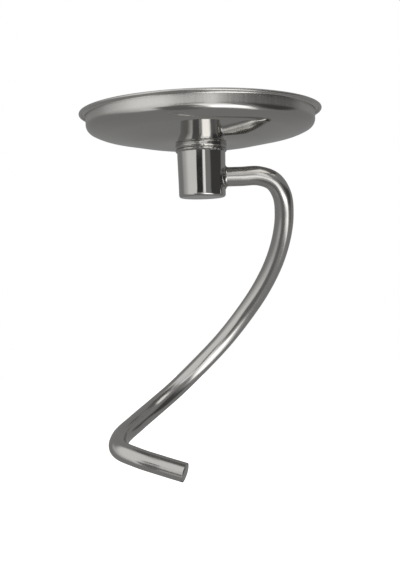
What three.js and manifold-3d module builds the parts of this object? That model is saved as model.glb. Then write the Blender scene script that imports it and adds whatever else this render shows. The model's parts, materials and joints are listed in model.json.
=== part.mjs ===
// Spiral dough hook for a stand mixer: a turned drive hub with a bayonet socket, a pressed splash
// shield welded around it, and a round rod bent into a descending spiral and welded into its side.
// Millimetres, +Z up. The origin is the middle of the socket's mouth, on the axis that the mixer
// turns the hook about; everything else hangs below it. +X is the side where the rod leaves.

import * as THREE from 'three';
import { mergeVertices } from 'three/addons/utils/BufferGeometryUtils.js';
import Module from 'manifold-3d';

const wasm = await Module();
wasm.setup();

// ---- Driving dimensions ----

const CLEARANCE = 0.3;             // between pieces that a weld joins
const OVERCUT = 1.5;               // how far a cutting shape stands out past the face it cuts
const ROUND = 2 * Math.PI;
const DOWN = -Math.PI / 2;         // in a profile of radius and height

// Drive hub
const HUB_RADIUS = 12.5;
const HUB_FOOT_RADIUS = 12.1;      // its lower end is turned a little smaller
const HUB_LENGTH = 47.4;
const HUB_TAPER_START = 21;        // below the mouth
const HUB_FOOT_EDGE = 1.4;         // radius around the flat lower end
const HUB_MOUTH_CHAMFER = 0.8;
const SOCKET_RADIUS = 6.4;         // takes a 12.7 mm drive shaft
const SOCKET_DEPTH = 30;
const SOCKET_FLOOR_SLOPE = THREE.MathUtils.degToRad(15);
const HUB_SIDES = 48;

// Bayonet slot, open at the mouth, for the cross pin of the drive shaft
const SLOT_WIDTH = 5.2;
const SLOT_DEPTH = 14;             // from the mouth to the bottom of the slot
const SLOT_DIRECTION = -Math.PI / 2;
const SLOT_TURN = THREE.MathUtils.degToRad(38);
const SLOT_WEDGES = 6;

// Splash shield
const RIM_DROP = 3;                // the rim lies this far below the mouth
const RIM_RADIUS = 62.5;
const RIM_BEAD_RADIUS = 0.75;      // the curled edge
const SHEET = 0.8;
const WALL_RADIUS = 59.1;
const LIP_FILLET = 1.2;            // from the wall out to the lip
const WALL_DEPTH = 6.1;            // from the rim to where the corner starts
const CORNER_RADIUS = 4.5;
const SHOULDER_RADIUS = 27;        // the easier bend between the corner and the cone
const SHOULDER_SLOPE = THREE.MathUtils.degToRad(28);  // where the corner takes over
const CONE_SLOPE = THREE.MathUtils.degToRad(11.8);
const PLATEAU_DEPTH = 17.6;        // from the rim to the flat middle
const PLATEAU_BLEND = 80;          // radius between the flat middle and the cone
const SHIELD_SIDES = 72;

// Weld beads
const WELD_LAND = 0.4;             // width of the shield weld's blunt toe on the hub
const SHIELD_WELD_DROP = 3.6;      // down the hub
const SHIELD_WELD_REACH = 0.9;     // out along the shield
const SHIELD_WELD_SIDE = 1.2;      // height of its upright side, next to the shield
const ROD_WELD_LEG = 1.5;          // out from the rod, and along it
const ROD_WELD_TOE = 0.2;          // how far its face runs on under the hub's side

// Hook rod
const ROD_RADIUS = 5;
const ROD_AXIS_DROP = 37;          // the rod's axis leaves the hub this far below the mouth
const ROD_SEAT = 8.8;              // the rod's end stands this far from the hub's axis
const ROD_SIDES = 16;
const ROD_STEPS = 100;
const SWEEP_REACH = 44;            // radius of the spiral sweep about the axis

// Stations along the rod's axis: turn about the hub's axis in degrees, reach from that axis, and
// drop below the rod's exit. The rod leaves the hub level, bends down at the elbow, sweeps round
// and down at a steady reach, and turns in at the knee to a short foot that dips to its tip.
const EXIT = [[0, ROD_SEAT, 0], [0, 20, 0], [0, 29.5, 0]];
const ELBOW = [[1, 37, 3], [4, 41.5, 10], [11, 43.5, 20]];
const SWEEP = [
  [19, 31], [31, 44.5], [46, 59], [62, 73.5], [78, 87.5], [97, 102], [114, 113.3], [133, 122.6], [153, 129],
].map(([turn, drop]) => [turn, SWEEP_REACH, drop]);
const KNEE = [[171, 47, 134.5], [187, 46.5, 138.5], [199, 39, 141.8]];
const FOOT = [[214, 28.5, 145.9], [237, 22.8, 149]];

// ---- Materials ----

function steel(colour, roughness) {
  return new THREE.MeshStandardMaterial({ color: colour, roughness, metalness: 1 });
}

const POLISHED = steel(0xc4c3bf, 0.12);
const SATIN = steel(0xb4b3af, 0.3);
const BURNISHED = steel(0xc8c7c3, 0.16);
const WELD_METAL = steel(0xa9a6a0, 0.32);

// ---- Shape helpers ----

// A closed three.js geometry as a manifold-3d solid.
function toSolid(geometry) {
  const bare = geometry.index ? geometry.clone() : geometry;
  bare.deleteAttribute('normal');
  bare.deleteAttribute('uv');
  const merged = mergeVertices(bare, 1e-4);
  return new wasm.Manifold(new wasm.Mesh({
    numProp: 3,
    vertProperties: new Float32Array(merged.attributes.position.array),
    triVerts: new Uint32Array(merged.index.array),
  }));
}

function toGeometry(solid) {
  const mesh = solid.getMesh();
  const geometry = new THREE.BufferGeometry();
  geometry.setAttribute('position', new THREE.BufferAttribute(mesh.vertProperties, 3));
  geometry.setIndex(new THREE.BufferAttribute(mesh.triVerts, 1));
  geometry.computeVertexNormals();
  return geometry;
}

// Turns a profile of [radius, height] points about +Z. The points run upwards on the outside.
function turned(profile, sides) {
  const points = profile.map(([radius, height]) => new THREE.Vector2(radius, height));
  return new THREE.LatheGeometry(points, sides).rotateX(Math.PI / 2);
}

// Points of an arc in a profile, from one angle to another, both included.
function arc(radius, height, bend, from, to, steps) {
  return Array.from({ length: steps + 1 }, (_, i) => {
    const angle = from + (to - from) * i / steps;
    return [radius + bend * Math.cos(angle), height + bend * Math.sin(angle)];
  });
}

// A cylinder that lies along +X, from one distance to another, at a height.
function crossBar(radius, from, to, height) {
  const bar = new THREE.CylinderGeometry(radius, radius, to - from, ROD_SIDES * 2);
  return bar.rotateZ(-Math.PI / 2).translate((from + to) / 2, 0, height);
}

// ---- Drive hub ----

// The outside of the hub, from the middle of its lower end up to its mouth, grown by an allowance.
function hubOutside(allowance) {
  const foot = HUB_FOOT_RADIUS + allowance;
  const body = HUB_RADIUS + allowance;
  const edge = arc(foot - HUB_FOOT_EDGE, HUB_FOOT_EDGE - HUB_LENGTH, HUB_FOOT_EDGE, DOWN, 0, 5);
  return [[0, -HUB_LENGTH], ...edge, [body, -HUB_TAPER_START], [body, -HUB_MOUTH_CHAMFER]];
}

// The slot's upright leg, from above the mouth down to its bottom, and the leg that turns off it
// about the hub's axis, made of short wedges of an upright bar.
function bayonetSlot() {
  const reach = HUB_RADIUS + OVERCUT;
  const upright = new THREE.BoxGeometry(reach, SLOT_WIDTH, SLOT_DEPTH + OVERCUT);
  upright.translate(reach / 2, 0, (OVERCUT - SLOT_DEPTH) / 2);
  let slot = toSolid(upright.rotateZ(SLOT_DIRECTION));
  for (let i = 1; i <= SLOT_WEDGES; i += 1) {
    const leg = new THREE.BoxGeometry(reach, SLOT_WIDTH, SLOT_WIDTH);
    leg.translate(reach / 2, 0, SLOT_WIDTH / 2 - SLOT_DEPTH);
    leg.rotateZ(SLOT_DIRECTION + SLOT_TURN * i / SLOT_WEDGES);
    slot = slot.add(toSolid(leg));
  }
  return slot;
}

function driveHub() {
  const floor = -SOCKET_DEPTH;
  const profile = [
    ...hubOutside(0),
    [HUB_RADIUS - HUB_MOUTH_CHAMFER, 0],
    [SOCKET_RADIUS + HUB_MOUTH_CHAMFER, 0],
    [SOCKET_RADIUS, -HUB_MOUTH_CHAMFER],
    [SOCKET_RADIUS, floor],
    [0, floor - SOCKET_RADIUS * Math.tan(SOCKET_FLOOR_SLOPE)],
  ];
  const seatStart = ROD_SEAT - CLEARANCE;
  const rodSeat = crossBar(ROD_RADIUS + CLEARANCE, seatStart, HUB_RADIUS + OVERCUT, -ROD_AXIS_DROP);
  const body = toSolid(turned(profile, HUB_SIDES));
  return toGeometry(body.subtract(bayonetSlot()).subtract(toSolid(rodSeat)));
}

// ---- Splash shield ----

// The underside of the sheet from the hub's hole out to the lip, as [radius, height] points: a flat
// middle, a blend, the cone, the shoulder, the corner, the wall and the fillet under the lip.
function shieldUnderside() {
  const plateau = -RIM_DROP - PLATEAU_DEPTH;
  const corner = [WALL_RADIUS - CORNER_RADIUS, -RIM_DROP - WALL_DEPTH];
  // The shoulder's arc touches the corner's arc from outside, so their centres lie on one line.
  const apart = SHOULDER_RADIUS - CORNER_RADIUS;
  const shoulder = [
    corner[0] - apart * Math.sin(SHOULDER_SLOPE),
    corner[1] + apart * Math.cos(SHOULDER_SLOPE),
  ];
  const coneEnd = [
    shoulder[0] + SHOULDER_RADIUS * Math.sin(CONE_SLOPE),
    shoulder[1] - SHOULDER_RADIUS * Math.cos(CONE_SLOPE),
  ];
  // The blend ends where the cone, followed inwards, has come down to its level.
  const blendRise = PLATEAU_BLEND * (1 - Math.cos(CONE_SLOPE));
  const coneRun = (coneEnd[1] - plateau - blendRise) / Math.tan(CONE_SLOPE);
  const blendStart = coneEnd[0] - coneRun - PLATEAU_BLEND * Math.sin(CONE_SLOPE);
  const lipUnderside = -RIM_DROP - SHEET;
  return [
    [HUB_RADIUS + CLEARANCE, plateau],
    ...arc(blendStart, plateau + PLATEAU_BLEND, PLATEAU_BLEND, DOWN, DOWN + CONE_SLOPE, 3),
    ...arc(...shoulder, SHOULDER_RADIUS, DOWN + CONE_SLOPE, DOWN + SHOULDER_SLOPE, 2),
    ...arc(...corner, CORNER_RADIUS, DOWN + SHOULDER_SLOPE, 0, 4).slice(1),
    ...arc(WALL_RADIUS + LIP_FILLET, lipUnderside - LIP_FILLET, LIP_FILLET, Math.PI, Math.PI / 2, 2),
  ];
}

// The same line moved by a distance to its left, as seen along it.
function movedLeft(line, distance) {
  return line.map(([radius, height], i) => {
    const [r0, h0] = line[Math.max(i - 1, 0)];
    const [r1, h1] = line[Math.min(i + 1, line.length - 1)];
    const length = Math.hypot(r1 - r0, h1 - h0);
    return [radius - distance * (h1 - h0) / length, height + distance * (r1 - r0) / length];
  });
}

function splashShield() {
  const underside = shieldUnderside();
  const upperSide = movedLeft(underside, SHEET).reverse();
  const beadCentre = [RIM_RADIUS - RIM_BEAD_RADIUS, -RIM_DROP - RIM_BEAD_RADIUS];
  const bead = arc(...beadCentre, RIM_BEAD_RADIUS, -Math.PI, Math.PI / 2, 5);
  const outline = [...underside, ...bead, ...upperSide];
  return turned([...outline, outline[0]], SHIELD_SIDES);
}

// ---- Hook rod ----

function hookRod() {
  const stations = [...EXIT, ...ELBOW, ...SWEEP, ...KNEE, ...FOOT].map(([turn, reach, drop]) => {
    const angle = THREE.MathUtils.degToRad(turn);
    return new THREE.Vector3(reach * Math.cos(angle), reach * Math.sin(angle), -ROD_AXIS_DROP - drop);
  });
  const section = new THREE.Shape().absarc(0, 0, ROD_RADIUS, 0, ROUND);
  return new THREE.ExtrudeGeometry(section, {
    curveSegments: ROD_SIDES / 2,  // an arc has two sides to a segment
    steps: ROD_STEPS,
    extrudePath: new THREE.CatmullRomCurve3(stations, false, 'centripetal'),
  });
}

// ---- Weld beads ----

// A collar around the hub under the shield's middle, tapered to its toe on the hub.
function shieldWeld() {
  const inner = HUB_RADIUS + CLEARANCE;
  const top = -RIM_DROP - PLATEAU_DEPTH - CLEARANCE;
  const outline = [
    [inner, top - SHIELD_WELD_DROP],
    [inner + WELD_LAND, top - SHIELD_WELD_DROP],
    [inner + SHIELD_WELD_REACH, top - SHIELD_WELD_SIDE],
    [inner + SHIELD_WELD_REACH, top],
    [inner, top],
  ];
  return turned([...outline, outline[0]], HUB_SIDES);
}

// A ring around the rod where it enters the hub, cut to the hub's own curve.
function rodWeld() {
  const inner = ROD_RADIUS + CLEARANCE;
  const faceStart = HUB_RADIUS + ROD_WELD_LEG;
  const outline = [
    [inner, ROD_SEAT],
    [inner + ROD_WELD_LEG, ROD_SEAT],
    [inner + ROD_WELD_LEG, HUB_RADIUS - ROD_WELD_TOE],
    [inner, faceStart],
  ];
  const ring = turned([...outline, outline[0]], ROD_SIDES * 2);
  ring.rotateY(Math.PI / 2).translate(0, 0, -ROD_AXIS_DROP);
  const hubAllowance = turned([...hubOutside(CLEARANCE), [0, -HUB_MOUTH_CHAMFER]], HUB_SIDES);
  return toGeometry(toSolid(ring).subtract(toSolid(hubAllowance)));
}

// ---- Assembly ----

function piece(name, geometry, material) {
  const mesh = new THREE.Mesh(geometry, material);
  mesh.name = name;
  return mesh;
}

const doughHook = new THREE.Group();
doughHook.add(
  piece('drive_hub', driveHub(), POLISHED),
  piece('splash_shield', splashShield(), SATIN),
  piece('hook_rod', hookRod(), BURNISHED),
  piece('shield_weld', shieldWeld(), WELD_METAL),
  piece('rod_weld', rodWeld(), WELD_METAL),
);

export default doughHook;
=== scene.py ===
"""Looks for a spiral dough hook: a mirror-polished drive hub, a pressed splash shield with a satin
wall, a burnished bent rod, and the two weld beads that join them. Metres, in the CAD model's frame:
the origin is the middle of the drive socket's mouth, and the hook hangs below it."""

import json
import math

import bmesh
import bpy
from mathutils import Matrix, Vector, noise


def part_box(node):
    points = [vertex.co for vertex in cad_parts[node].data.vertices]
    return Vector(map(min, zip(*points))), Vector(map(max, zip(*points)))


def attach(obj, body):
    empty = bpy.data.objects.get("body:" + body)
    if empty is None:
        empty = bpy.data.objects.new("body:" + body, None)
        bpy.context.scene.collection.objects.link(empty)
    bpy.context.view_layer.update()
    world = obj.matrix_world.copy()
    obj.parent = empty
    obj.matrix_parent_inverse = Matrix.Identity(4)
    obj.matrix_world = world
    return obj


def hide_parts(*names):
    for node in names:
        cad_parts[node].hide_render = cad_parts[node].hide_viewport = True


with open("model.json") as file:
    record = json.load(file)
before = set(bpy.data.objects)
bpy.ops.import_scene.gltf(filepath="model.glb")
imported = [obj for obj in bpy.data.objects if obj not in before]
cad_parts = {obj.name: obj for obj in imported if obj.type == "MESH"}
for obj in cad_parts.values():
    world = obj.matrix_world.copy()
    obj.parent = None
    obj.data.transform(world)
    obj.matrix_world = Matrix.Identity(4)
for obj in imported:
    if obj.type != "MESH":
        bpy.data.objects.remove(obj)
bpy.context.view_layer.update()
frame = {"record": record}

MM = 0.001
COLOURS = {m["slot"]: m["base_color"][:3] for m in frame["record"]["materials"]}

# ---- Sizes, from the frame where it has them ----

hub_low, hub_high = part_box("drive_hub")
shield_low, shield_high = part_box("splash_shield")
rod_low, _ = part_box("hook_rod")

HUB_RADIUS = hub_high.x
HUB_FOOT_Z = hub_low.z
HUB_FOOT_RADIUS = 12.1 * MM
HUB_TAPER_START_Z = -21 * MM
HUB_FOOT_EDGE = 1.4 * MM           # radius around the flat lower end
HUB_MOUTH_CHAMFER = 0.8 * MM
SOCKET_RADIUS = 6.4 * MM
SOCKET_FLOOR_Z = -30 * MM
SOCKET_FLOOR_SLOPE = math.radians(15)
SLOT_WIDTH = 5.2 * MM
SLOT_DEPTH = 14 * MM
SLOT_DIRECTION = -math.pi / 2
SLOT_TURN = math.radians(38)

RIM_Z = shield_high.z
RIM_RADIUS = 62.5 * MM
RIM_BEAD_RADIUS = 0.75 * MM
PLATEAU_Z = shield_low.z
SHEET = 0.8 * MM
WALL_RADIUS = 59.1 * MM
LIP_FILLET = 1.2 * MM
WALL_DEPTH = 6.1 * MM
CORNER_RADIUS = 4.5 * MM
SHOULDER_RADIUS = 27 * MM
SHOULDER_SLOPE = math.radians(28)
CONE_SLOPE = math.radians(11.8)
PLATEAU_BLEND = 80 * MM
HOLE_GAP = 0.05 * MM               # between the hub and the sheet, behind the weld

# How many sides each turned or swept piece has
HUB_SIDES = 192
SHIELD_SIDES = 288
ROD_SIDES = 64
SHIELD_WELD_SIDES = 360
ROD_WELD_SIDES = 160
SHARP_EDGE = math.radians(40)      # faces that meet at more than this keep a crisp edge
SHARP_WELD_EDGE = math.radians(70)

ROD_RADIUS = 5 * MM
ROD_AXIS_Z = -37 * MM
ROD_TIP_EDGE = 1.8 * MM            # radius around the tip's flat end
SWEEP_REACH = 44                   # millimetres, as in the stations below

# The rod's axis as in the CAD model: turn in degrees, reach and drop in millimetres.
EXIT = [(0, 8.8, 0), (0, 20, 0), (0, 29.5, 0)]
ELBOW = [(1, 37, 3), (4, 41.5, 10), (11, 43.5, 20)]
SWEEP = [(turn, SWEEP_REACH, drop) for turn, drop in (
    (19, 31), (31, 44.5), (46, 59), (62, 73.5), (78, 87.5), (97, 102),
    (114, 113.3), (133, 122.6), (153, 129))]
KNEE = [(171, 47, 134.5), (187, 46.5, 138.5), (199, 39, 141.8)]
FOOT = [(214, 28.5, 145.9), (237, 22.8, 149)]


# ---- Mesh helpers ----

def arc(centre_r, centre_z, radius, start, end, steps):
    """Points of an arc in a profile of (radius, height), both ends included."""
    angles = [start + (end - start) * i / steps for i in range(steps + 1)]
    return [(centre_r + radius * math.cos(a), centre_z + radius * math.sin(a)) for a in angles]


def new_object(name, bm, smooth_below=SHARP_EDGE):
    """Makes an object of a bmesh, smooth-shaded except across sharp edges."""
    bmesh.ops.recalc_face_normals(bm, faces=bm.faces)
    mesh = bpy.data.meshes.new(name)
    bm.to_mesh(mesh)
    bm.free()
    mesh.polygons.foreach_set("use_smooth", [True] * len(mesh.polygons))
    mesh.set_sharp_from_angle(angle=smooth_below)
    obj = bpy.data.objects.new(name, mesh)
    bpy.context.scene.collection.objects.link(obj)
    return obj


def level_ring(bm, radius, height, sides):
    """A level ring of vertices about the Z axis, or a single one where the radius is nothing."""
    if radius < 1e-7:
        return [bm.verts.new((0, 0, height))]
    angles = [2 * math.pi * i / sides for i in range(sides)]
    return [bm.verts.new((radius * math.cos(a), radius * math.sin(a), height)) for a in angles]


def turned(profile, sides, closed=True):
    """A profile of (radius, height) points turned about the Z axis. A point on the axis is a pole."""
    bm = bmesh.new()
    rings = [level_ring(bm, radius, height, sides) for radius, height in profile]
    pairs = list(zip(rings, rings[1:]))
    if closed:
        pairs.append((rings[-1], rings[0]))
    for low, high in pairs:
        join_rings(bm, low, high)
    return bm


def join_rings(bm, low, high):
    """Faces between two rings of the same length, or between a ring and a single point."""
    count = max(len(low), len(high))
    for i in range(count):
        j = (i + 1) % count
        corners = [low[i % len(low)], low[j % len(low)], high[j % len(high)], high[i % len(high)]]
        unique = list(dict.fromkeys(corners))
        if len(unique) >= 3:
            bm.faces.new(unique)


def join_loop(bm, rings):
    """Faces from each ring to the next, and from the last back to the first."""
    for low, high in zip(rings, rings[1:] + rings[:1]):
        join_rings(bm, low, high)


def cut(obj, cutter):
    """Cuts a shape out of an object, and removes the shape."""
    modifier = obj.modifiers.new("cut", "BOOLEAN")
    modifier.operation = "DIFFERENCE"
    modifier.solver = "EXACT"
    modifier.object = cutter
    depsgraph = bpy.context.evaluated_depsgraph_get()
    mesh = bpy.data.meshes.new_from_object(obj.evaluated_get(depsgraph))
    obj.modifiers.clear()
    obj.data = mesh
    bpy.data.objects.remove(cutter)


# ---- Drive hub ----

def hub_profile():
    """Outside from the foot's middle up to the mouth, then down the socket to its floor."""
    foot_r = HUB_FOOT_RADIUS - HUB_FOOT_EDGE
    floor_point = SOCKET_FLOOR_Z - SOCKET_RADIUS * math.tan(SOCKET_FLOOR_SLOPE)
    body_steps = 10
    outside = [(0, HUB_FOOT_Z), (foot_r * 0.5, HUB_FOOT_Z)]
    outside += arc(foot_r, HUB_FOOT_Z + HUB_FOOT_EDGE, HUB_FOOT_EDGE, -math.pi / 2, 0, 12)
    taper_low = HUB_FOOT_Z + HUB_FOOT_EDGE
    for i in range(1, body_steps + 1):
        t = i / body_steps
        eased = t * t * (3 - 2 * t)
        radius = HUB_FOOT_RADIUS + (HUB_RADIUS - HUB_FOOT_RADIUS) * eased
        outside.append((radius, taper_low + (HUB_TAPER_START_Z - taper_low) * t))
    soft = HUB_MOUTH_CHAMFER
    outside += arc(HUB_RADIUS - soft, -soft, soft, 0, math.pi / 2, 6)
    socket = arc(SOCKET_RADIUS + soft, -soft, soft, math.pi / 2, math.pi, 6)
    socket += [(SOCKET_RADIUS, SOCKET_FLOOR_Z), (0, floor_point)]
    return outside + socket


def bayonet_cutter():
    """The slot as one outline around the hub: straight down from the mouth, then turned to one side."""
    half_turn = math.asin(SLOT_WIDTH / 2 / HUB_RADIUS)
    inner, outer = SOCKET_RADIUS * 0.5, HUB_RADIUS * 1.2
    above = 2 * MM
    corner = SLOT_WIDTH * 0.45
    # (angle, height) around the outline: the mouth, the plain side, the foot, the turned leg
    far = SLOT_TURN + half_turn
    steps = 6
    outline = [(-half_turn, above), (-half_turn, -SLOT_DEPTH + corner)]
    for i in range(1, steps + 1):
        a = math.pi / 2 * i / steps
        turn = -half_turn + corner / HUB_RADIUS * (1 - math.cos(a))
        outline.append((turn, -SLOT_DEPTH + corner * (1 - math.sin(a))))
    reach = SLOT_WIDTH / 2
    for i in range(0, 2 * steps + 1):
        a = -math.pi / 2 + math.pi * i / (2 * steps)
        turn = far - reach / HUB_RADIUS * (1 - math.cos(a))
        outline.append((turn, -SLOT_DEPTH + reach + reach * math.sin(a)))
    # The upper side of the turned leg, and a small corner where it meets the straight leg
    outline.append((half_turn + corner * 0.3 / HUB_RADIUS, -SLOT_DEPTH + SLOT_WIDTH))
    outline.append((half_turn, -SLOT_DEPTH + SLOT_WIDTH * 1.06))
    outline.append((half_turn, above))
    bm = bmesh.new()
    rings = []
    for radius in (inner, outer):
        ring = []
        for turn, z in outline:
            a = SLOT_DIRECTION + turn
            ring.append(bm.verts.new((radius * math.cos(a), radius * math.sin(a), z)))
        rings.append(ring)
    join_rings(bm, *rings)
    for ring in rings:
        bm.faces.new(ring)
    bmesh.ops.triangulate(bm, faces=[f for f in bm.faces if len(f.verts) > 4])
    return new_object("slot_cutter", bm)


def make_hub():
    hub = new_object("drive_hub_body", turned(hub_profile(), HUB_SIDES, closed=False))
    cut(hub, bayonet_cutter())
    hub.data.polygons.foreach_set("use_smooth", [True] * len(hub.data.polygons))
    hub.data.set_sharp_from_angle(angle=SHARP_EDGE)
    bevel = hub.modifiers.new("soft edges", "BEVEL")
    bevel.width = 0.25 * MM
    bevel.segments = 3
    bevel.limit_method = "ANGLE"
    bevel.angle_limit = math.radians(60)
    return hub


# ---- Splash shield ----

def shield_underside():
    """The sheet's lower face from the hub's hole out to the lip: a flat middle, a blend, the cone, the
    shoulder, the corner, the wall and the fillet under the lip."""
    down = -math.pi / 2
    corner_r, corner_z = WALL_RADIUS - CORNER_RADIUS, RIM_Z - WALL_DEPTH
    reach = SHOULDER_RADIUS - CORNER_RADIUS
    shoulder_r = corner_r - reach * math.sin(SHOULDER_SLOPE)
    shoulder_z = corner_z + reach * math.cos(SHOULDER_SLOPE)
    cone_end_r = shoulder_r + SHOULDER_RADIUS * math.sin(CONE_SLOPE)
    cone_end_z = shoulder_z - SHOULDER_RADIUS * math.cos(CONE_SLOPE)
    blend_rise = PLATEAU_BLEND * (1 - math.cos(CONE_SLOPE))
    cone_run = (cone_end_z - PLATEAU_Z - blend_rise) / math.tan(CONE_SLOPE)
    blend_start = cone_end_r - cone_run - PLATEAU_BLEND * math.sin(CONE_SLOPE)
    lip_z = RIM_Z - SHEET
    return [
        (HUB_RADIUS + HOLE_GAP, PLATEAU_Z),
        ((HUB_RADIUS + blend_start) / 2, PLATEAU_Z),
        *arc(blend_start, PLATEAU_Z + PLATEAU_BLEND, PLATEAU_BLEND, down, down + CONE_SLOPE, 24),
        *arc(shoulder_r, shoulder_z, SHOULDER_RADIUS, down + CONE_SLOPE, down + SHOULDER_SLOPE, 12),
        *arc(corner_r, corner_z, CORNER_RADIUS, down + SHOULDER_SLOPE, 0, 16)[1:],
        *arc(WALL_RADIUS + LIP_FILLET, lip_z - LIP_FILLET, LIP_FILLET, math.pi, math.pi / 2, 8),
    ]


def moved_left(line, distance):
    """A profile line moved to its left, as seen along it."""
    moved = []
    for i, (radius, height) in enumerate(line):
        r0, z0 = line[max(i - 1, 0)]
        r1, z1 = line[min(i + 1, len(line) - 1)]
        length = math.hypot(r1 - r0, z1 - z0)
        moved.append((radius - distance * (z1 - z0) / length, height + distance * (r1 - r0) / length))
    return moved


def make_shield():
    underside = shield_underside()
    upper = moved_left(underside, SHEET)
    upper.reverse()
    bead_r, bead_z = RIM_RADIUS - RIM_BEAD_RADIUS, RIM_Z - RIM_BEAD_RADIUS
    bead = arc(bead_r, bead_z, RIM_BEAD_RADIUS, -math.pi, math.pi / 2, 16)
    bm = turned(underside + bead + upper, SHIELD_SIDES)
    return new_object("splash_shield_sheet", bm)


# ---- Hook rod ----

def rod_stations():
    """The axis points in space, in metres."""
    points = []
    for turn, reach, drop in EXIT + ELBOW + SWEEP + KNEE + FOOT:
        angle = math.radians(turn)
        points.append(Vector((
            reach * MM * math.cos(angle), reach * MM * math.sin(angle), ROD_AXIS_Z - drop * MM)))
    return points


def smooth_path(points, steps):
    """A centripetal Catmull-Rom curve through the points, steps points to each span."""
    before = points[0] * 2 - points[1]
    after = points[-1] * 2 - points[-2]
    padded = [before, *points, after]
    path = []
    for p0, p1, p2, p3 in zip(padded, padded[1:], padded[2:], padded[3:]):
        d0, d1, d2 = (max((b - a).length, 1e-9) ** 0.5 for a, b in ((p0, p1), (p1, p2), (p2, p3)))
        t1 = ((p1 - p0) / d0 - (p2 - p0) / (d0 + d1) + (p2 - p1) / d1) * d1
        t2 = ((p2 - p1) / d1 - (p3 - p1) / (d1 + d2) + (p3 - p2) / d2) * d1
        for i in range(steps):
            t = i / steps
            square = (3 * (p2 - p1) - 2 * t1 - t2) * t ** 2
            cube = (2 * (p1 - p2) + t1 + t2) * t ** 3
            path.append(p1 + t1 * t + square + cube)
    path.append(points[-1].copy())
    return path


def sweep_frames(path):
    """A tangent and two sideways directions at each point, turned as little as possible."""
    frames = []
    side = Vector((0, 0, 1))
    for i, point in enumerate(path):
        tangent = (path[min(i + 1, len(path) - 1)] - path[max(i - 1, 0)]).normalized()
        side = (side - tangent * side.dot(tangent)).normalized()
        frames.append((point, tangent, side, tangent.cross(side)))
    return frames


def make_rod():
    """The bent bar, with a rounded edge at its tip. The attribute "grain" runs along the bar."""
    span_steps = 28                    # between one station and the next
    frames = sweep_frames(smooth_path(rod_stations(), span_steps))
    rings = []
    travelled = 0.0
    last = frames[0][0]
    for point, _, side, across in frames:
        travelled += (point - last).length
        last = point
        rings.append((point, side, across, ROD_RADIUS, travelled))
    tip, tangent, side, across = frames[-1]
    rings.pop()
    edge_steps = 8
    for i in range(edge_steps + 1):
        a = math.pi / 2 * i / edge_steps
        radius = ROD_RADIUS - ROD_TIP_EDGE * (1 - math.cos(a))
        back = ROD_TIP_EDGE * (1 - math.sin(a))
        rings.append((tip - tangent * back, side, across, radius, travelled - back))
    bm = bmesh.new()
    grain = bm.verts.layers.float_vector.new("grain")
    made = []
    for centre, side, across, radius, along in rings:
        ring = []
        for i in range(ROD_SIDES):
            a = 2 * math.pi * i / ROD_SIDES
            vert = bm.verts.new(centre + (side * math.cos(a) + across * math.sin(a)) * radius)
            vert[grain] = (ROD_RADIUS * math.cos(a), ROD_RADIUS * math.sin(a), along)
            ring.append(vert)
        made.append(ring)
    for low, high in zip(made, made[1:]):
        join_rings(bm, low, high)
    for ring, end in ((made[0], frames[0][0]), (made[-1], tip)):
        middle = bm.verts.new(end)
        middle[grain] = (0, 0, ring[0][grain].z)
        join_rings(bm, ring, [middle])
    return new_object("hook_rod_bar", bm)


# ---- Weld beads ----

def ripple(angle, along, seed):
    """An uneven, puddled surface: how far a bead stands out at a place on it, from -1 to 1."""
    place = Vector((math.cos(angle) * 7, math.sin(angle) * 7, along * 3 + seed))
    return noise.noise(place) * 0.7 + noise.noise(place * 2.7) * 0.4


def make_shield_weld():
    """A collar around the hub under the shield: two laid runs, the lower with a ragged toe."""
    drop = 3.6 * MM                    # from the shield down to the toe
    proud = 0.8 * MM                   # how far it stands out of the hub
    buried = 0.35 * MM
    ragged = 0.45 * MM                 # how far the toe wanders up and down
    puddled = 0.22 * MM
    groove_at, groove_width, groove_depth = 0.58, 0.12, 0.45
    toe_share = 0.3                    # of its height, over which it rises from the hub
    sides, steps = SHIELD_WELD_SIDES, 24
    bm = bmesh.new()
    rings = []
    for k in range(steps + 1):
        t = k / steps                  # 0 at the toe on the hub, 1 under the shield
        rise = min(1.0, t / toe_share)
        groove = groove_depth * math.exp(-((t - groove_at) / groove_width) ** 2)
        stand = math.sin(math.pi / 2 * rise) * (1 - groove)
        ring = []
        for i in range(sides):
            angle = 2 * math.pi * i / sides
            toe = drop + ragged * ripple(angle, 0, 11)
            # Puddles, flatter towards the shield
            lift = puddled * ripple(angle, t * 2, 23) * math.sin(math.pi / 2 * rise) * (1.15 - t)
            radius = HUB_RADIUS + proud * stand + lift
            height = PLATEAU_Z - toe * (1 - t)
            ring.append(bm.verts.new((radius * math.cos(angle), radius * math.sin(angle), height)))
        rings.append(ring)
    back = []
    outer, inner = HUB_RADIUS + proud, HUB_RADIUS - buried
    top = PLATEAU_Z + buried
    for radius, height in ((outer, top), (inner, top), (inner, PLATEAU_Z - drop)):
        back.append(level_ring(bm, radius, height, sides))
    join_loop(bm, rings + back)
    return new_object("shield_weld_bead", bm, SHARP_WELD_EDGE)


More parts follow.
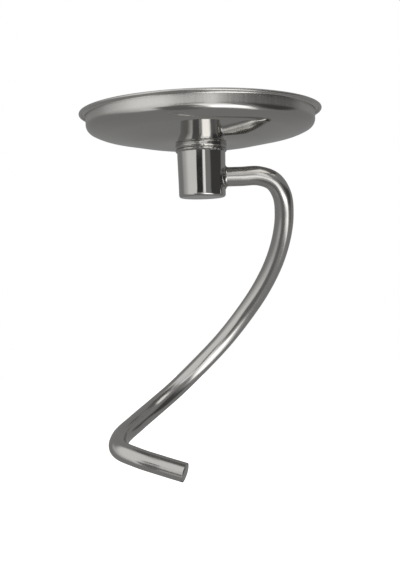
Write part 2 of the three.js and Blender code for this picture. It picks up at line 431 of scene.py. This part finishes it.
def make_rod_weld():
    """A small bead around the rod, on the hub's round side."""
    leg = 1.3 * MM
    buried = 0.3 * MM
    ragged = 0.22                      # share of its leg by which its size varies
    puddled = 0.06 * MM
    sides, steps = ROD_WELD_SIDES, 12
    bm = bmesh.new()
    rings = []

    def hub_surface(y):
        """How far out the hub's side is at y, a little below its skin."""
        radius = HUB_RADIUS - 0.1 * MM
        return math.sqrt(radius ** 2 - y ** 2)

    for k in range(steps + 1):
        turn = math.pi / 2 * k / steps
        ring = []
        for i in range(sides):
            angle = 2 * math.pi * i / sides
            size = leg * (1 + ragged * ripple(angle, 0, 31))
            lift = puddled * ripple(angle, turn, 41) * math.sin(turn * 2)
            # From the toe on the rod, out to the toe on the hub
            radius = ROD_RADIUS + size * (1 - math.cos(turn)) + lift
            stand_off = size * (1 - math.sin(turn)) + lift
            y, z = radius * math.cos(angle), radius * math.sin(angle)
            ring.append(bm.verts.new((hub_surface(y) + stand_off, y, ROD_AXIS_Z + z)))
        rings.append(ring)
    back = []
    outer, inner = ROD_RADIUS + leg, ROD_RADIUS - buried
    for radius, depth in ((outer, buried), (inner, buried), (inner, -leg)):
        ring = []
        for i in range(sides):
            angle = 2 * math.pi * i / sides
            y, z = radius * math.cos(angle), radius * math.sin(angle)
            ring.append(bm.verts.new((hub_surface(y) - depth, y, ROD_AXIS_Z + z)))
        back.append(ring)
    join_loop(bm, rings + back)
    return new_object("rod_weld_bead", bm, SHARP_WELD_EDGE)


# ---- Materials ----

class Nodes:
    """Short calls for building a node tree."""

    def __init__(self, tree):
        self.tree = tree
        self.tree.nodes.clear()

    def link(self, source, target):
        self.tree.links.new(source, target)

    def make(self, kind, **settings):
        node = self.tree.nodes.new(kind)
        for key, value in settings.items():
            setattr(node, key, value)
        return node

    def feed(self, socket, value):
        """Sets a socket to a number, or links it to another node's output."""
        if isinstance(value, (int, float)):
            socket.default_value = value
        else:
            self.link(value, socket)

    def maths(self, operation, a, b=0.0):
        node = self.make("ShaderNodeMath", operation=operation)
        self.feed(node.inputs[0], a)
        self.feed(node.inputs[1], b)
        return node.outputs[0]

    def remap(self, value, low, high, to_low=0.0, to_high=1.0, smooth=False):
        kind = "SMOOTHSTEP" if smooth else "LINEAR"
        node = self.make("ShaderNodeMapRange", interpolation_type=kind)
        node.inputs["From Min"].default_value = low
        node.inputs["From Max"].default_value = high
        node.inputs["To Min"].default_value = to_low
        node.inputs["To Max"].default_value = to_high
        self.link(value, node.inputs["Value"])
        return node.outputs["Result"]

    def between(self, share, a, b):
        """The number a where share is 0 and b where it is 1."""
        node = self.make("ShaderNodeMix")
        self.feed(node.inputs["Factor"], share)
        self.feed(node.inputs["A"], a)
        self.feed(node.inputs["B"], b)
        return node.outputs["Result"]

    def apart(self, vector):
        """A vector's x, y and z."""
        node = self.make("ShaderNodeSeparateXYZ")
        self.link(vector, node.inputs[0])
        return node.outputs["X"], node.outputs["Y"], node.outputs["Z"]

    def place(self, attribute=None, scale=(1, 1, 1)):
        """Where a point is, from object coordinates or a stored attribute, stretched."""
        if attribute:
            source = self.make("ShaderNodeAttribute", attribute_name=attribute).outputs["Vector"]
        else:
            source = self.make("ShaderNodeTexCoord").outputs["Object"]
        mapping = self.make("ShaderNodeMapping")
        mapping.inputs["Scale"].default_value = scale
        self.link(source, mapping.inputs["Vector"])
        return mapping.outputs["Vector"]

    def noise(self, place, scale, detail=3.0, roughness=0.55):
        node = self.make("ShaderNodeTexNoise")
        node.inputs["Scale"].default_value = scale
        node.inputs["Detail"].default_value = detail
        node.inputs["Roughness"].default_value = roughness
        self.link(place, node.inputs["Vector"])
        return node.outputs["Fac"]

    def bump(self, height, strength, distance):
        node = self.make("ShaderNodeBump")
        self.feed(node.inputs["Strength"], strength)
        node.inputs["Distance"].default_value = distance
        self.link(height, node.inputs["Height"])
        return node.outputs["Normal"]

    def tint(self, colour, value, spread):
        """The colour, made darker and lighter by a value from 0 to 1."""
        node = self.make("ShaderNodeMix", data_type="RGBA")
        dark, light = ([c * (1 + change) for c in colour] + [1] for change in (-spread, spread))
        colours = [socket for socket in node.inputs if socket.type == "RGBA"]
        for socket, shade in zip(colours, (dark, light)):
            socket.default_value = shade
        self.link(value, node.inputs["Factor"])
        return next(socket for socket in node.outputs if socket.type == "RGBA")


def new_material(name):
    """A material with an empty surface shader, and the calls to fill it in."""
    material = bpy.data.materials.new(name)
    material.use_nodes = True
    nodes = Nodes(material.node_tree)
    shader = nodes.make("ShaderNodeBsdfPrincipled")
    nodes.link(shader.outputs[0], nodes.make("ShaderNodeOutputMaterial").inputs["Surface"])
    return material, nodes, shader


RINGS = (0.02, 0.02, 1.0)          # a stretch that makes fine lines around the hook's axis
UPRIGHT = (1.0, 1.0, 0.03)         # fine lines up and down
LENGTHWISE = (1.0, 1.0, 0.015)     # fine lines along the bar, on its own grain
GRAIN_DEPTH = 0.02 * MM
SHADE_SPREAD = 0.07                # share by which grain and smudges darken or lighten the steel


def steel_shade(nodes, shader, slot, fine, smudge, painted_lightening=1.0):
    """The colour of steel: its grain, its smudges, and brighter edges where it is rubbed. The last
    factor scales the colour up as painted light, so that a matt finish looks lighter than a polished
    one."""
    pointiness = nodes.make("ShaderNodeNewGeometry").outputs["Pointiness"]
    edge = nodes.remap(pointiness, 0.52, 0.6)
    shade = nodes.maths("ADD", nodes.maths("MULTIPLY", fine, 0.5), nodes.maths("MULTIPLY", smudge, 0.5))
    shade = nodes.maths("ADD", shade, nodes.maths("MULTIPLY", edge, 0.4))
    scaled = nodes.make("ShaderNodeVectorMath", operation="SCALE")
    nodes.link(nodes.tint(COLOURS[slot], shade, SHADE_SPREAD), scaled.inputs[0])
    nodes.feed(scaled.inputs["Scale"], painted_lightening)
    nodes.link(scaled.outputs[0], shader.inputs["Base Color"])
    shader.inputs["Metallic"].default_value = 1.0


def hub_material():
    """Mirror polish over faint turning rings."""
    material, nodes, shader = new_material("polished hub steel")
    fine = nodes.noise(nodes.place(scale=RINGS), scale=7000, roughness=0.6)
    smudge = nodes.noise(nodes.place(), scale=120, roughness=0.5)
    steel_shade(nodes, shader, "hub_steel", fine, smudge)
    nodes.link(nodes.remap(smudge, 0.35, 0.7, 0.04, 0.1), shader.inputs["Roughness"])
    nodes.link(nodes.bump(fine, 0.12, GRAIN_DEPTH), shader.inputs["Normal"])
    return material


def shield_material():
    """A polished underside, with a satin wall and a satin inner face that show their brushing."""
    material, nodes, shader = new_material("pressed shield steel")
    _, _, height = nodes.apart(nodes.place())
    _, _, facing = nodes.apart(nodes.make("ShaderNodeNewGeometry").outputs["Normal"])
    wall_end = RIM_Z - WALL_DEPTH
    wall = nodes.remap(height, wall_end - 1.2 * MM, wall_end + 0.8 * MM, smooth=True)
    corner = nodes.remap(height, wall_end - CORNER_RADIUS, wall_end - 0.6 * CORNER_RADIUS, smooth=True)
    lip = nodes.remap(height, RIM_Z - 2.2 * MM, RIM_Z - 1.7 * MM)
    inner = nodes.remap(facing, 0.02, 0.3)
    # The lip is rubbed brighter than the wall, and the inner face is satin all over
    rubbed_wall = nodes.maths("SUBTRACT", wall, nodes.maths("MULTIPLY", lip, 0.5))
    satin = nodes.maths("MAXIMUM", rubbed_wall, inner)
    brushed = nodes.noise(nodes.place(scale=UPRIGHT), scale=2600, roughness=0.6)
    smudge = nodes.noise(nodes.place(), scale=60, roughness=0.5)
    # The satin wall and inner face get a colour up to 1.3 times lighter: painted light, standing in for
    # the sheen on the brushed steel.
    steel_shade(nodes, shader, "shield_steel", brushed, smudge, nodes.between(satin, 1.0, 1.3))
    polished = nodes.remap(smudge, 0.35, 0.7, 0.05, 0.09)
    pressed = nodes.between(corner, polished, 0.16)
    dull = nodes.remap(brushed, 0.3, 0.7, 0.27, 0.36)
    nodes.link(nodes.between(satin, pressed, dull), shader.inputs["Roughness"])
    strength = nodes.between(satin, 0.03, 0.25)
    nodes.link(nodes.bump(brushed, strength, GRAIN_DEPTH), shader.inputs["Normal"])
    return material


def rod_material():
    """Burnished bar with drawing lines along it, duller than the hub."""
    material, nodes, shader = new_material("burnished rod steel")
    fine = nodes.noise(nodes.place("grain", LENGTHWISE), scale=1500, roughness=0.6)
    smudge = nodes.noise(nodes.place(), scale=70, roughness=0.5)
    steel_shade(nodes, shader, "rod_steel", fine, smudge)
    rough = nodes.maths(
        "ADD", nodes.remap(smudge, 0.35, 0.7, 0.14, 0.2), nodes.remap(fine, 0.3, 0.7, 0.0, 0.05))
    nodes.link(rough, shader.inputs["Roughness"])
    nodes.link(nodes.bump(fine, 0.1, GRAIN_DEPTH), shader.inputs["Normal"])
    return material


def weld_material():
    """Weld metal: puddled, brushed after welding, duller in patches."""
    material, nodes, shader = new_material("weld metal")
    grit = nodes.noise(nodes.place(), scale=1800, roughness=0.6)
    smudge = nodes.noise(nodes.place(), scale=400, roughness=0.5)
    steel_shade(nodes, shader, "weld_metal", grit, smudge)
    nodes.link(nodes.remap(smudge, 0.35, 0.7, 0.06, 0.16), shader.inputs["Roughness"])
    nodes.link(nodes.bump(grit, 0.3, GRAIN_DEPTH), shader.inputs["Normal"])
    return material


# ---- Pieces ----

def show(piece, material, node):
    piece.data.materials.clear()
    piece.data.materials.append(material)
    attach(piece, "root")
    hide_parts(node)


weld_steel = weld_material()
show(make_hub(), hub_material(), "drive_hub")
show(make_shield(), shield_material(), "splash_shield")
show(make_rod(), rod_material(), "hook_rod")
show(make_shield_weld(), weld_steel, "shield_weld")
show(make_rod_weld(), weld_steel, "rod_weld")


# ---- Studio: world, floor and camera ----

# What the steel reflects, by direction in degrees. Azimuth 0 is from the hook to the camera, and
# positive azimuths are to the camera's right; elevation 0 is level. Each panel has a brightness,
# then its left, right, low and high side as (place, softness), then how far its left and right
# sides move in azimuth for each degree of elevation. A later panel hides an earlier one.
SURROUND_LEVEL = 0.33
PANELS = [
    ("left light, far",     0.65, (-98, 10), (-63, 4), (-58, 8), (31, 12), (-0.8, 0.2)),
    ("left light, near",    1.1, (-76, 16), (3, 10), (-40, 8), (73, 12), (-0.3, 0)),
    ("right screen",        0.08, (46, 5), (104, 6), (-32, 6), (13, 4), (-0.7, 0.4)),
    ("front grey",          0.35, (-30, 2), (35, 5), (-34, 6), (-7, 4), (-0.1, -0.1)),
    ("camera stand",        0.2, (-46, 5), (-18, 4), (-70, 6), (-15, 5), (0, -0.3)),
    ("camera",              0.05, (-28, 2), (2, 2), (-1, 3), (9, 3), (0.6, 0.3)),
    ("upper right light",   1.75, (29, 4), (58, 4), (40, 4), (55, 4), (-0.1, 0)),
    ("strip light",         1.5, (6, 1), (17, 1.5), (0, 3), (34, 4), (0, 0)),
    ("low light",           1.8, (-11, 3), (16, 4), (-52, 5), (-5, 3), (-0.5, -1.2)),
    ("low light, middle",   3.2, (14, 4), (38, 8), (-44, 6), (-24, 5), (0.1, -0.4)),
]


def make_world():
    world = bpy.data.worlds.new("studio")
    bpy.context.scene.world = world
    world.use_nodes = True
    nodes = Nodes(world.node_tree)
    x, y, z = nodes.apart(nodes.make("ShaderNodeTexCoord").outputs["Generated"])
    azimuth = nodes.maths("DEGREES", nodes.maths("ARCTAN2", x, nodes.maths("MULTIPLY", y, -1)))
    elevation = nodes.maths("DEGREES", nodes.maths("ARCSINE", z))

    def past(value, side, lean=0.0):
        """0 before a side and 1 past it."""
        place, softness = side
        if lean:
            value = nodes.maths("SUBTRACT", value, nodes.maths("MULTIPLY", elevation, lean))
        return nodes.remap(value, place - softness, place + softness, smooth=True)

    level = SURROUND_LEVEL
    for _, brightness, left, right, low, high, lean in PANELS:
        across = nodes.maths("SUBTRACT", past(azimuth, left, lean[0]), past(azimuth, right, lean[1]))
        upright = nodes.maths("SUBTRACT", past(elevation, low), past(elevation, high))
        cover = nodes.maths("MULTIPLY", nodes.maths("MAXIMUM", across, 0.0), upright)
        level = nodes.between(cover, level, brightness)
    reflected = nodes.make("ShaderNodeBackground")
    nodes.link(level, reflected.inputs["Strength"])
    seen = nodes.make("ShaderNodeBackground")
    seen.inputs["Color"].default_value = (1, 1, 1, 1)
    choose = nodes.make("ShaderNodeMixShader")
    nodes.link(nodes.make("ShaderNodeLightPath").outputs["Is Camera Ray"], choose.inputs["Fac"])
    nodes.link(reflected.outputs[0], choose.inputs[1])
    nodes.link(seen.outputs[0], choose.inputs[2])
    nodes.link(choose.outputs[0], nodes.make("ShaderNodeOutputWorld").inputs["Surface"])


def make_floor():
    """A pale floor well below the hanging hook."""
    half = 6.0
    height = rod_low.z - 0.5
    bm = bmesh.new()
    corners = [(-half, -half), (half, -half), (half, half), (-half, half)]
    bm.faces.new([bm.verts.new((x, y, height)) for x, y in corners])
    floor = new_object("floor", bm)
    material, nodes, shader = new_material("pale floor")
    shader.inputs["Roughness"].default_value = 0.9
    shader.inputs["Emission Color"].default_value = (1, 1, 1, 1)
    shader.inputs["Emission Strength"].default_value = 0.85
    speckle = nodes.noise(nodes.place(), scale=3, detail=4.0)
    nodes.link(nodes.tint((0.9, 0.9, 0.89), speckle, 0.01), shader.inputs["Base Color"])
    floor.data.materials.append(material)
    floor.visible_glossy = False
    floor.visible_shadow = False
    floor.visible_diffuse = False


def make_camera():
    """Level with the middle of the hook, half a metre in front, and rolled a little."""
    distance = 504 * MM
    height = -92.6 * MM
    aside = -2.65 * MM
    roll = math.radians(1.68)
    camera = bpy.data.cameras.new("camera")
    camera.lens = 61.46                # millimetres
    camera.clip_start = 10 * MM
    obj = bpy.data.objects.new("camera", camera)
    right = Vector((math.cos(roll), 0, -math.sin(roll)))
    up = Vector((math.sin(roll), 0, math.cos(roll)))
    back = Vector((0, -1, 0))
    turn = Matrix((right, up, back)).transposed().to_4x4()
    obj.matrix_world = Matrix.Translation((aside, -distance, height)) @ turn
    bpy.context.scene.collection.objects.link(obj)
    bpy.context.scene.camera = obj


make_world()
make_floor()
make_camera()
bpy.context.scene.view_settings.view_transform = "Standard"
